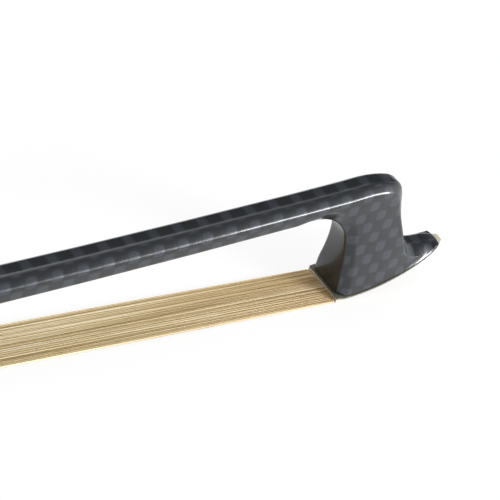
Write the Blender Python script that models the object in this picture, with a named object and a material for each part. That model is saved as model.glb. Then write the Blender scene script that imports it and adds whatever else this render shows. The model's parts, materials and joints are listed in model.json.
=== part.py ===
"""Violin bow: moulded carbon stick and head, frog, adjusting screw and button, with its hair.

Metres, +Z up. The bow stands hair down: +X points from the button to the tip, +Y is across the hair.
The origin is under the middle of the bow, on the plane that the tip plate and the ferrule touch.
Two frames carry the pieces: the head frame starts at the rear edge of the tip plate, and the frog
frame lies on the straight rear end of the stick, with its X axis along the screw.
"""
import math

import bmesh
import bpy
from mathutils import Vector

MM = 0.001

# Clearances
FIT_GAP = 0.3 * MM
GLUE_GAP = 0.1 * MM
PIN_GAP = 0.15 * MM

# Stick
FLATS_AT_HEAD = 5.5 * MM
FLATS_AT_FROG = 8.6 * MM
TAPER_POWER = 1.15
PARALLEL_AHEAD_OF_FROG = 90 * MM
HEAD_AXIS_HEIGHT = 21.4 * MM
HEAD_SLOPE = 0.123
DIP_FROM_HEAD = 240 * MM
STRAIGHT_FROM_HEAD = 470 * MM
FROG_FROM_HEAD = 648.6 * MM
BUTT_BEHIND_FROG = 9 * MM
NIPPLE_RADIUS = 3.0 * MM
NIPPLE_LENGTH = 1.8 * MM
CURVED_STATIONS = 22
HEAD_STEPS = 3

# Head
HEAD_JUNCTION = 14 * MM
BEVEL_LENGTH = 1.7 * MM
CHEEK_HALF_WIDTH = 4.66 * MM
REAR_FACET_HALF_WIDTH = 3.5 * MM
HEAD_MORTISE_START = 5.2 * MM
HEAD_MORTISE_LENGTH = 6.4 * MM
HEAD_MORTISE_HALF_WIDTH = 3.1 * MM
HEAD_MORTISE_TOP = 9.0 * MM
BEAK_SETBACK = 1.4 * MM

# Tip plate and liner
PLATE_LENGTH = 24.1 * MM
PLATE_REAR_HALF_WIDTH = 4.46 * MM
PLATE_THICKNESS = 0.76 * MM
PLATE_FLAT = 1.0 * MM
PLATE_SIDE_BEVEL = 0.65 * MM
BEAK_RISE = 6.48 * MM
BEAK_RISE_POWER = 1.57
LINER_THICKNESS = 0.25 * MM

# Hair
HAIR_THICKNESS = 0.4 * MM
HAIR_HALF_WIDTH_AT_HEAD = 4.45 * MM
HAIR_HALF_WIDTH_AT_FROG = 5.3 * MM
HAIR_ABOVE_FLOOR = 0.02 * MM
KNOT_RADIUS = 1.45 * MM

# Frog
FROG_LENGTH = 46 * MM
FROG_DEPTH = 23.6 * MM
FROG_WIDTH = 12.0 * MM
FROG_TOP_BELOW_AXIS = 2.2 * MM
THUMB_TIP_SETBACK = 8.3 * MM
THROAT_SETBACK = 17 * MM
FROG_MORTISE_LENGTH = 6.6 * MM
FROG_MORTISE_HALF_WIDTH = 4.2 * MM
FROG_MORTISE_DEPTH = 9.6 * MM
FERRULE_LENGTH = 13 * MM
FERRULE_WIDTH = 12.6 * MM
FERRULE_HEIGHT = 8.0 * MM
FERRULE_WALL = 0.6 * MM
FERRULE_SIDE = 2.4 * MM
TONGUE_BOTTOM = 4.3 * MM
WEDGE_LENGTH = 6.0 * MM
WEDGE_HALF_WIDTH = 5.0 * MM
SLIDE_HALF_WIDTH = 3.9 * MM
SLIDE_FLARE = 0.5 * MM
PEARL_THICKNESS = 1.0 * MM
SLIDE_BASE_THICKNESS = 1.5 * MM
SLIDE_TONGUE = 3.4 * MM
HEEL_FOOT = 9.2 * MM
HEEL_BACK = 12 * MM
HEEL_THICKNESS = 0.5 * MM
HEEL_PIN_RADIUS = 0.5 * MM
HEEL_PIN_LENGTH = 3.0 * MM
UNDERSLIDE_THICKNESS = 0.4 * MM
EYE_HEIGHT = 11.6 * MM
EYE_PEARL_RADIUS = 3.0 * MM
EYE_RING_WIDTH = 0.7 * MM
EYE_DEPTH = 1.0 * MM

# Adjuster
SCREW_RADIUS = 1.35 * MM
SCREW_NOSE_SETBACK = 13.5 * MM
EYELET_SETBACK = 27 * MM
EYELET_LENGTH = 5.0 * MM
EYELET_HALF_WIDTH = 2.3 * MM
EYELET_WALL_ABOVE = 1.0 * MM
EYELET_STEM_RADIUS = 1.5 * MM
EYELET_STEM_LENGTH = 7.0 * MM
FROG_TRAVEL = 5.6 * MM
BUSHING_WALL = 0.55 * MM
BUSHING_LENGTH = 6 * MM
BUTTON_FLATS = 8.9 * MM
BUTTON_CORE_FLATS = 8.5 * MM
FRONT_RING_LENGTH = 3.9 * MM
CORE_BAND_LENGTH = 3.9 * MM
REAR_RING_LENGTH = 5.3 * MM
BUTTON_RING_WALL = 1.05 * MM
BUTTON_PEARL_THICKNESS = 1.2 * MM

# Grip
LEATHER_START_SETBACK = 6.5 * MM
LEATHER_LENGTH = 21.5 * MM
LEATHER_THICKNESS = 0.9 * MM
WINDING_TURNS = 24
WINDING_PITCH = 2.5 * MM
WINDING_WIDTH = 1.9 * MM
WINDING_THICKNESS = 0.5 * MM

# Derived sizes
FACET = math.tan(math.pi / 8)
DIP_CURVATURE = HEAD_SLOPE / DIP_FROM_HEAD
DIP_HEIGHT = HEAD_AXIS_HEIGHT - HEAD_SLOPE * DIP_FROM_HEAD / 2
UPPER_HEAD_GAP = GLUE_GAP + LINER_THICKNESS + GLUE_GAP
BEAK_TIP_X = PLATE_LENGTH
BORE_RADIUS = SCREW_RADIUS + FIT_GAP
BUSH_SEAT_RADIUS = BORE_RADIUS + BUSHING_WALL + PIN_GAP
HAIR_LEVEL = FERRULE_WALL + FIT_GAP + HAIR_THICKNESS / 2
SEAT_HALF_FLATS = FLATS_AT_FROG / 2 + FIT_GAP + UNDERSLIDE_THICKNESS + FIT_GAP
BUTT_X = -(FROG_LENGTH + BUTT_BEHIND_FROG)
RING_BORE = BUTTON_FLATS / 2 - BUTTON_RING_WALL
BUTTON_FRONT_X = BUTT_X - FIT_GAP


def frog_tilt():
    """The straight rear end of the stick tilts just enough to meet the camber's lowest point."""
    tilt = 0.0
    run = (STRAIGHT_FROM_HEAD - DIP_FROM_HEAD) / 2 + FROG_FROM_HEAD - STRAIGHT_FROM_HEAD
    for _ in range(12):
        tilt = math.atan((FROG_DEPTH * math.cos(tilt) - DIP_HEIGHT) / run)
    return tilt


TILT = frog_tilt()
REAR_CURVATURE = math.tan(TILT) / (STRAIGHT_FROM_HEAD - DIP_FROM_HEAD)
FROG_AXIS_HEIGHT = FROG_DEPTH * math.cos(TILT)
BUTTON_END_X = BUTTON_FRONT_X - FRONT_RING_LENGTH - CORE_BAND_LENGTH - REAR_RING_LENGTH - 2 * PIN_GAP
REAR_REACH = FROG_FROM_HEAD - BUTTON_END_X * math.cos(TILT) + BUTTON_FLATS / 2 * math.sin(TILT)
HEAD_FRAME_X = (REAR_REACH - BEAK_TIP_X) / 2


def axis_at(x):
    """Height and slope of the stick's centre line at x in the head frame."""
    if x >= -DIP_FROM_HEAD:
        return HEAD_AXIS_HEIGHT + HEAD_SLOPE * x + DIP_CURVATURE * x * x / 2, HEAD_SLOPE + DIP_CURVATURE * x
    if x >= -STRAIGHT_FROM_HEAD:
        run = -DIP_FROM_HEAD - x
        return DIP_HEIGHT + REAR_CURVATURE * run * run / 2, -REAR_CURVATURE * run
    rise = (-FROG_FROM_HEAD - x) * -math.tan(TILT)
    return FROG_AXIS_HEIGHT - rise, -math.tan(TILT)


def flats_at(x):
    """Across-flats size of the stick at x in the head frame."""
    taper_length = FROG_FROM_HEAD - PARALLEL_AHEAD_OF_FROG
    share = min(1.0, max(0.0, -x / taper_length))
    return FLATS_AT_HEAD + (FLATS_AT_FROG - FLATS_AT_HEAD) * share ** TAPER_POWER


def plate_outer_height(x):
    """The tip plate's outer face is flat at the rear and curls up to the beak."""
    run = max(0.0, x - PLATE_FLAT) / (PLATE_LENGTH - PLATE_FLAT)
    return BEAK_RISE * run ** BEAK_RISE_POWER


def head_bottom(x):
    return plate_outer_height(x) + PLATE_THICKNESS + UPPER_HEAD_GAP


def plan_half_width(x):
    """Half-width of the head seen from below: full at the cheeks, rounded at the beak."""
    run = max(0.0, x - BEVEL_LENGTH) / (PLATE_LENGTH - BEVEL_LENGTH)
    return CHEEK_HALF_WIDTH * max(0.0, 1 - run ** 1.9) ** 0.42


def octagon(half_flats):
    """The eight corners (y, z) of an octagon that stands on a flat, from the upper right round."""
    side = half_flats * FACET
    return [
        (half_flats, side), (side, half_flats), (-side, half_flats), (-half_flats, side),
        (-half_flats, -side), (-side, -half_flats), (side, -half_flats), (half_flats, -side),
    ]


def circle(radius, sides, y=0.0, z=0.0):
    step = 2 * math.pi / sides
    return [(y + radius * math.cos((i + 0.5) * step), z + radius * math.sin((i + 0.5) * step)) for i in range(sides)]


def spline(points, count):
    """Points along a Catmull-Rom curve through the given ones, count for each span."""
    path = []
    for i in range(len(points) - 1):
        before = Vector(points[max(i - 1, 0)])
        start = Vector(points[i])
        end = Vector(points[i + 1])
        after = Vector(points[min(i + 2, len(points) - 1)])
        for step in range(count):
            t = step / count
            path.append(0.5 * (
                2 * start + (end - before) * t + (2 * before - 5 * start + 4 * end - after) * t * t
                + (3 * start - before - 3 * end + after) * t ** 3
            ))
    path.append(Vector(points[-1]))
    return path


def make_material(name, color, roughness, metallic=0.0):
    material = bpy.data.materials.new(name)
    material.use_nodes = True
    shader = material.node_tree.nodes["Principled BSDF"]
    shader.inputs["Base Color"].default_value = (*color, 1.0)
    shader.inputs["Roughness"].default_value = roughness
    shader.inputs["Metallic"].default_value = metallic
    material.diffuse_color = (*color, 1.0)
    return material


def add_empty(name, location=(0, 0, 0), tilt=0.0, parent=None):
    empty = bpy.data.objects.new(name, None)
    empty.location = location
    empty.rotation_euler = (0, tilt, 0)
    empty.parent = parent
    bpy.context.collection.objects.link(empty)
    return empty


def add_mesh(name, mesh_data, parent, material=None):
    """Make an object from a bmesh, with its faces turned outwards."""
    bmesh.ops.recalc_face_normals(mesh_data, faces=mesh_data.faces)
    mesh = bpy.data.meshes.new(name)
    mesh_data.to_mesh(mesh)
    mesh_data.free()
    part = bpy.data.objects.new(name, mesh)
    part.parent = parent
    bpy.context.collection.objects.link(part)
    if material:
        mesh.materials.append(material)
    return part


def bridge_rings(mesh_data, rings, closed=False):
    """Join rings of vertices, each to the next, and cap the two ends or join them."""
    made = [[mesh_data.verts.new(point) for point in ring] for ring in rings]
    pairs = list(zip(made, made[1:]))
    if closed:
        pairs.append((made[-1], made[0]))
    for first, second in pairs:
        for i in range(len(first)):
            j = (i + 1) % len(first)
            mesh_data.faces.new((first[i], first[j], second[j], second[i]))
    if not closed:
        mesh_data.faces.new(made[0])
        mesh_data.faces.new(list(reversed(made[-1])))


def add_loft(name, rings, parent, material=None, closed=False):
    mesh_data = bmesh.new()
    bridge_rings(mesh_data, rings, closed)
    return add_mesh(name, mesh_data, parent, material)


def add_bar(name, section, x_start, x_end, parent, material=None):
    """A straight bar along X with the given (y, z) section."""
    rings = [[(x, y, z) for y, z in section] for x in (x_start, x_end)]
    return add_loft(name, rings, parent, material)


def add_tube(name, outer, inner, x_start, x_end, parent, material=None):
    """A straight tube along X between two (y, z) outlines with as many corners."""
    rings = []
    for section, x in ((outer, x_start), (outer, x_end), (inner, x_end), (inner, x_start)):
        rings.append([(x, y, z) for y, z in section])
    return add_loft(name, rings, parent, material, closed=True)


def add_slab(name, outline, half_width, parent, material=None):
    """A plate cut to an (x, z) outline and as wide as stated, across Y."""
    rings = [[(x, y, z) for x, z in outline] for y in (-half_width, half_width)]
    return add_loft(name, rings, parent, material)


def add_block(name, low, high, parent, material=None):
    outline = [(low[0], low[2]), (high[0], low[2]), (high[0], high[2]), (low[0], high[2])]
    rings = [[(x, y, z) for x, z in outline] for y in (low[1], high[1])]
    return add_loft(name, rings, parent, material)


def add_post(name, radius, sides, x, z_start, z_end, parent, material=None):
    """A round bar along Z."""
    rings = [[(x + a, b, z) for a, b in circle(radius, sides)] for z in (z_start, z_end)]
    return add_loft(name, rings, parent, material)


def cut_away(part, cutter, operation="DIFFERENCE"):
    """Cut a hidden cutter out of a part, or join it on."""
    cutter.hide_render = True
    cutter.display_type = "WIRE"
    modifier = part.modifiers.new(cutter.name, "BOOLEAN")
    modifier.operation = operation
    modifier.solver = "EXACT"
    modifier.object = cutter


def soften(part, width, angle=35.0):
    """Round the sharp edges of a part."""
    modifier = part.modifiers.new("edges", "BEVEL")
    modifier.width = width
    modifier.segments = 2
    modifier.limit_method = "ANGLE"
    modifier.angle_limit = math.radians(angle)


def shade_round(part):
    part.data.shade_smooth()
    part.data.set_sharp_from_angle(angle=math.radians(35))


def stick_ring(x):
    """The octagon of the stick at x in the head frame, square to its centre line."""
    height, slope = axis_at(x)
    tangent = math.atan(slope)
    return [
        (x - z * math.sin(tangent), y, height + z * math.cos(tangent))
        for y, z in octagon(flats_at(x) / 2)
    ]


def head_rings():
    """Rings of eight points round the head, in the order of the stick's octagon.

    Each ring joins a place on the top, front or beak to one on the throat, rear face or underside.
    A place has an outer pair of points, on the edge of the flat cheeks, and an inner pair, on the
    edge of the middle facet.
    """
    half = FLATS_AT_HEAD / 2
    side = half * FACET
    top = HEAD_AXIS_HEIGHT
    join, _ = axis_at(-HEAD_JUNCTION)
    beak_end = PLATE_LENGTH - BEAK_SETBACK
    end_height = head_bottom(beak_end)
    end_half_width = plan_half_width(beak_end)
    corner = BEVEL_LENGTH + 0.25 * MM
    # Over the top, down the front and out along the beak: edge of the cheek, then of the middle facet.
    upper_cheek = [
        (-HEAD_JUNCTION, join + side, half), (-9 * MM, axis_at(-9 * MM)[0] + side, half),
        (-4 * MM, axis_at(-4 * MM)[0] + side, half), (1.0 * MM, top + 1.35 * MM, 2.7 * MM),
        (4.6 * MM, top + 1.05 * MM, 2.6 * MM), (6.6 * MM, top, 2.4 * MM), (7.9 * MM, top - 2.0 * MM, 2.4 * MM),
        (9.0 * MM, top - 4.4 * MM, 2.5 * MM), (10.7 * MM, top - 7.8 * MM, 2.85 * MM),
        (12.35 * MM, top - 11.2 * MM, 3.25 * MM), (13.8 * MM, 7.5 * MM, 3.4 * MM), (16.4 * MM, 6.35 * MM, 3.1 * MM),
        (19.6 * MM, 6.35 * MM, 2.6 * MM), (beak_end, end_height + 0.25 * MM, end_half_width),
    ]
    upper_middle = [
        (-HEAD_JUNCTION, join + half, side), (-9 * MM, axis_at(-9 * MM)[0] + half, side),
        (-4 * MM, axis_at(-4 * MM)[0] + half, side), (1.0 * MM, top + 2.9 * MM, side), (5.5 * MM, top + 2.5 * MM, side),
        (7.7 * MM, top + 1.35 * MM, 1.1 * MM), (8.9 * MM, top - 0.8 * MM, 1.05 * MM), (9.9 * MM, top - 3.9 * MM, 1.0 * MM),
        (11.6 * MM, top - 7.6 * MM, 1.0 * MM), (13.2 * MM, top - 11.0 * MM, 1.0 * MM), (14.8 * MM, 8.4 * MM, 1.0 * MM),
        (17.0 * MM, 8.0 * MM, 0.85 * MM), (20.0 * MM, 8.0 * MM, 0.8 * MM),
        (beak_end, end_height + 0.5 * MM, 0.6 * MM),
    ]
    # Along the throat and down the rear face to the corner of the underside.
    lower_cheek = [
        (-HEAD_JUNCTION, join - side, half), (-11.0 * MM, top - 1.9 * MM, half), (-8.0 * MM, top - 1.25 * MM, half),
        (-5.2 * MM, top - 1.6 * MM, 2.77 * MM), (-3.2 * MM, top - 2.9 * MM, 2.8 * MM), (-1.4 * MM, top - 4.65 * MM, 2.92 * MM),
        (-0.2 * MM, top - 7.3 * MM, 3.17 * MM), (0.75 * MM, 10.5 * MM, 3.58 * MM), (1.4 * MM, 7.4 * MM, 3.93 * MM),
        (1.85 * MM, 4.2 * MM, 4.28 * MM), (corner, head_bottom(corner), plan_half_width(corner)),
    ]
    lower_middle = [
        (-HEAD_JUNCTION, join - half, side), (-11.0 * MM, top - 4.0 * MM, side), (-8.2 * MM, top - 3.75 * MM, 1.2 * MM),
        (-6.0 * MM, top - 4.05 * MM, 1.4 * MM), (-4.3 * MM, top - 4.75 * MM, 1.75 * MM), (-2.9 * MM, top - 5.9 * MM, 2.0 * MM),
        (-1.75 * MM, top - 7.8 * MM, 2.2 * MM), (-0.85 * MM, 10.4 * MM, 2.55 * MM), (-0.4 * MM, 7.2 * MM, 2.95 * MM),
        (-0.19 * MM, 4.1 * MM, 3.37 * MM), (0.2 * MM, head_bottom(0.2 * MM), REAR_FACET_HALF_WIDTH),
    ]
    chains = [spline(chain, HEAD_STEPS) for chain in (upper_cheek, upper_middle, lower_cheek, lower_middle)]
    missing = len(chains[0]) - len(chains[2])
    for i in range(1, missing + 1):
        share = i / missing
        x = corner + (beak_end - corner) * share
        chains[2].append(Vector((x, head_bottom(x), plan_half_width(x))))
        inner_x = 0.2 * MM + (beak_end - 0.2 * MM) * share
        chains[3].append(Vector((inner_x, head_bottom(inner_x), plan_half_width(inner_x) * 0.6)))
    rings = []
    for cheek, middle, low_cheek, low_middle in zip(*chains):
        upper = [(p.x, p.z, p.y) for p in (cheek, middle)]
        lower = [(p.x, p.z, p.y) for p in (low_middle, low_cheek)]
        far_side = upper + [(x, -y, z) for x, y, z in reversed(upper)]
        near_side = [(x, -y, z) for x, y, z in reversed(lower)] + lower
        rings.append(far_side + near_side)
    return rings


def make_stick(parent, line, material):
    """Octagonal stick and its head as one moulding, bored and slotted for the screw and eyelet."""
    butt = -FROG_FROM_HEAD + BUTT_X * math.cos(TILT)
    straight = [butt, -FROG_FROM_HEAD, -FROG_FROM_HEAD + PARALLEL_AHEAD_OF_FROG, -STRAIGHT_FROM_HEAD]
    span = STRAIGHT_FROM_HEAD - HEAD_JUNCTION
    curved = [-STRAIGHT_FROM_HEAD + span * i / CURVED_STATIONS for i in range(1, CURVED_STATIONS)]
    stick = add_loft("stick", [stick_ring(x) for x in straight + curved] + head_rings(), parent, material)
    nipple = add_bar(
        "nipple", circle(NIPPLE_RADIUS, 24), BUTT_X + NIPPLE_LENGTH, BUTT_X - NIPPLE_LENGTH, line)
    cut_away(stick, nipple, "UNION")
    reach = -SCREW_NOSE_SETBACK + FIT_GAP
    cut_away(stick, add_bar("screw_bore", circle(BORE_RADIUS, 24), BUTT_X - NIPPLE_LENGTH - 2 * MM, reach, line))
    cut_away(stick, add_bar(
        "bushing_seat", circle(BUSH_SEAT_RADIUS, 24), BUTT_X - NIPPLE_LENGTH - MM,
        BUTT_X - NIPPLE_LENGTH + BUSHING_LENGTH + 2 * PIN_GAP, line))
    slot_half = EYELET_HALF_WIDTH + FIT_GAP + 0.05 * MM
    slot_front = -EYELET_SETBACK + EYELET_LENGTH / 2 + 2 * FIT_GAP
    slot_rear = -EYELET_SETBACK - EYELET_LENGTH / 2 - FROG_TRAVEL - 2 * FIT_GAP
    slot_top = BORE_RADIUS + EYELET_WALL_ABOVE + FIT_GAP
    cut_away(stick, add_block(
        "eyelet_slot", (slot_rear, -slot_half, -FLATS_AT_FROG), (slot_front, slot_half, slot_top), line))
    cut_away(stick, add_block(
        "head_mortise", (HEAD_MORTISE_START, -HEAD_MORTISE_HALF_WIDTH, 0.0),
        (HEAD_MORTISE_START + HEAD_MORTISE_LENGTH, HEAD_MORTISE_HALF_WIDTH, HEAD_MORTISE_TOP), parent))
    return stick


def make_tip_layer(name, bottom_gap, thickness, length, bevel, parent, material):
    """A thin layer under the head: the outer plate or its liner, both pierced by the mortise."""
    rings = []
    steps = 14
    stations = [0.0] + [BEVEL_LENGTH + (length - BEVEL_LENGTH) * i / steps for i in range(steps + 1)]
    for x in stations:
        width = PLATE_REAR_HALF_WIDTH if x == 0.0 else plan_half_width(min(x, PLATE_LENGTH - 0.15 * MM))
        outer = width if x == 0.0 else width - bevel * min(1.0, width / CHEEK_HALF_WIDTH + 0.3)
        low = plate_outer_height(x) + bottom_gap
        high = low + thickness
        rings.append([(x, -outer, low), (x, outer, low), (x, width, high), (x, -width, high)])
    layer = add_loft(name, rings, parent, material)
    cut_away(layer, add_block(
        name + "_mortise", (HEAD_MORTISE_START, -HEAD_MORTISE_HALF_WIDTH, -MM),
        (HEAD_MORTISE_START + HEAD_MORTISE_LENGTH, HEAD_MORTISE_HALF_WIDTH, HEAD_MORTISE_TOP), parent))
    return layer


def make_tip_pieces(parent, materials):
    plate = make_tip_layer(
        "tip_plate", 0.0, PLATE_THICKNESS, PLATE_LENGTH, PLATE_SIDE_BEVEL, parent, materials["bone"])
    ramp_top = HAIR_ABOVE_FLOOR + HAIR_THICKNESS + GLUE_GAP
    ramp_start = HEAD_MORTISE_HALF_WIDTH + 0.2 * MM
    ramp_end = PLATE_REAR_HALF_WIDTH - FIT_GAP
    rings = []
    for z in (-MM, ramp_top):
        rings.append([
            (-MM, -ramp_end, z), (HEAD_MORTISE_START + FIT_GAP, -ramp_start, z),
            (HEAD_MORTISE_START + FIT_GAP, ramp_start, z), (-MM, ramp_end, z),
        ])
    cut_away(plate, add_loft("hair_ramp", rings, parent))
    make_tip_layer(
        "tip_liner", PLATE_THICKNESS + GLUE_GAP, LINER_THICKNESS, PLATE_LENGTH - BEAK_SETBACK, 0.0, parent,
        materials["grey_liner"])
    front = HEAD_MORTISE_START + HEAD_MORTISE_LENGTH - FIT_GAP
    rear = HEAD_MORTISE_START + 1.7 * MM
    top = HEAD_MORTISE_TOP - 2 * KNOT_RADIUS - 3 * FIT_GAP
    outline = [
        (rear, plate_outer_height(rear) + GLUE_GAP), (front, plate_outer_height(front) + GLUE_GAP), (front, top),
        (rear, top),
    ]
    add_slab("head_plug", outline, HEAD_MORTISE_HALF_WIDTH - FIT_GAP, parent, materials["maple"])
    knot_x = rear - 0.1 * MM + KNOT_RADIUS
    knot_z = HEAD_MORTISE_TOP - FIT_GAP - KNOT_RADIUS
    make_knot("head_hair_knot", knot_x, knot_z, HEAD_MORTISE_HALF_WIDTH - FIT_GAP, parent, materials["thread"])


def make_knot(name, x, z, half_width, parent, material):
    """The tied end of the hair: a short roll across the mortise, drawn in by its thread."""
    rings = []
    for share, scale in ((-1.0, 0.8), (-0.7, 1.0), (-0.25, 0.8), (0.25, 0.8), (0.7, 1.0), (1.0, 0.8)):
        rings.append([
            (x + a, share * half_width, z + b) for a, b in circle(KNOT_RADIUS * scale, 12)
        ])
    knot = add_loft(name, rings, parent, material)
    shade_round(knot)


def frog_to_head(x, z):
    """A point of the frog frame, at rest, in the head frame."""
    return (
        -FROG_FROM_HEAD + x * math.cos(TILT) + z * math.sin(TILT),
        FROG_AXIS_HEIGHT - x * math.sin(TILT) + z * math.cos(TILT),
    )


def make_hair(parent, material):
    """The ribbon of hair: out of the head's mortise, along to the ferrule and up to the frog's."""
    level = HAIR_ABOVE_FLOOR + HAIR_THICKNESS / 2
    start = HEAD_MORTISE_START
    narrow = HEAD_MORTISE_HALF_WIDTH - FIT_GAP
    knot_z = HEAD_MORTISE_TOP - FIT_GAP - KNOT_RADIUS
    points = [
        (start + 1.15 * MM, knot_z, narrow - 0.1 * MM), (start + 1.1 * MM, 2.2 * MM, narrow - 0.1 * MM),
        (start + 0.9 * MM, level + 0.8 * MM, narrow - 0.1 * MM), (start + 0.4 * MM, level + 0.2 * MM, narrow),
        (start - 0.4 * MM, level, narrow + 0.1 * MM), (0.3 * MM, level, PLATE_REAR_HALF_WIDTH - 2 * FIT_GAP),
        (-0.5 * MM, level, HAIR_HALF_WIDTH_AT_HEAD),
    ]
    base = -FROG_DEPTH
    rear = -FERRULE_LENGTH
    in_frog = [
        (0.0, base + HAIR_LEVEL, HAIR_HALF_WIDTH_AT_FROG), (-WEDGE_LENGTH, base + HAIR_LEVEL, HAIR_HALF_WIDTH_AT_FROG),
        (rear - 0.4 * MM, base + 3.2 * MM, FROG_MORTISE_HALF_WIDTH - FIT_GAP),
        (rear - 1.8 * MM, base + 3.6 * MM, FROG_MORTISE_HALF_WIDTH - 2 * FIT_GAP),
        (rear - 2.2 * MM, base + 5.0 * MM, FROG_MORTISE_HALF_WIDTH - 2 * FIT_GAP),
        (rear - 2.2 * MM, base + 8.0 * MM, FROG_MORTISE_HALF_WIDTH - 2 * FIT_GAP),
    ]
    exit_x, exit_z = frog_to_head(0.0, base + HAIR_LEVEL)
    free_spans = 6
    for i in range(1, free_spans):
        share = i / free_spans
        points.append((
            exit_x * share, level + (exit_z - level) * share,
            HAIR_HALF_WIDTH_AT_HEAD + (HAIR_HALF_WIDTH_AT_FROG - HAIR_HALF_WIDTH_AT_HEAD) * share))
    points += [(*frog_to_head(x, z), width) for x, z, width in in_frog]
    rings = []
    for i, (x, z, width) in enumerate(points):
        before = Vector(points[max(i - 1, 0)][:2])
        after = Vector(points[min(i + 1, len(points) - 1)][:2])
        tangent = (after - before).normalized()
        normal = Vector((-tangent.y, tangent.x)) * HAIR_THICKNESS / 2
        edge = 0.35
        rings.append([
            (x + normal.x * edge, -width, z + normal.y * edge), (x + normal.x, -width * 0.9, z + normal.y),
            (x + normal.x, width * 0.9, z + normal.y), (x + normal.x * edge, width, z + normal.y * edge),
            (x - normal.x * edge, width, z - normal.y * edge), (x - normal.x, width * 0.9, z - normal.y),
            (x - normal.x, -width * 0.9, z - normal.y), (x - normal.x * edge, -width, z - normal.y * edge),
        ])
    add_loft("hair_ribbon", rings, parent, material)


def frog_outline():
    """Side outline (x, z) of the frog behind its ferrule."""
    base = -FROG_DEPTH
    front = -FERRULE_LENGTH - FIT_GAP
    foot = -FROG_LENGTH + HEEL_FOOT + FIT_GAP
    heel_inner = -FROG_LENGTH + HEEL_THICKNESS + GLUE_GAP
    ferrule_top = base + FERRULE_HEIGHT
    top = -FROG_TOP_BELOW_AXIS
    throat = spline([
        (-THUMB_TIP_SETBACK, top - 0.6 * MM), (-THUMB_TIP_SETBACK - 0.8 * MM, top - 4.2 * MM),
        (-(THUMB_TIP_SETBACK + THROAT_SETBACK) / 2, top - 7.0 * MM), (-THROAT_SETBACK, (top + ferrule_top) / 2 - 3.0 * MM),
        (-THROAT_SETBACK + 0.9 * MM, ferrule_top + 0.9 * MM), (front, ferrule_top),
    ], 3)
    return [
        (front, base), (foot, base), (foot, base + HEEL_THICKNESS + GLUE_GAP),
        (heel_inner, base + HEEL_THICKNESS + GLUE_GAP), (heel_inner, base + HEEL_BACK + GLUE_GAP),
        (-FROG_LENGTH, base + HEEL_BACK + GLUE_GAP), (-FROG_LENGTH, top), (-THUMB_TIP_SETBACK - 0.8 * MM, top),
    ] + [(point.x, point.y) for point in throat]


def arch(half_width, side_height, base, top):
    """A D-shaped (y, z) outline: flat below, upright sides and a half-round top.

    Where the base is above the sides, only the part of the arch above it is left.
    """
    steps = 14
    lowest = math.asin(max(0.0, base - side_height) / (top - side_height))
    points = []
    for i in range(steps + 1):
        angle = lowest + (math.pi - 2 * lowest) * i / steps
        points.append((half_width * math.cos(angle), side_height + (top - side_height) * math.sin(angle)))
    if base < side_height:
        points = [(half_width, base)] + points + [(-half_width, base)]
    return points


def slide_section(low, high, half_width, flare):
    return [(-half_width, low), (half_width, low), (half_width + flare, high), (-half_width - flare, high)]


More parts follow.
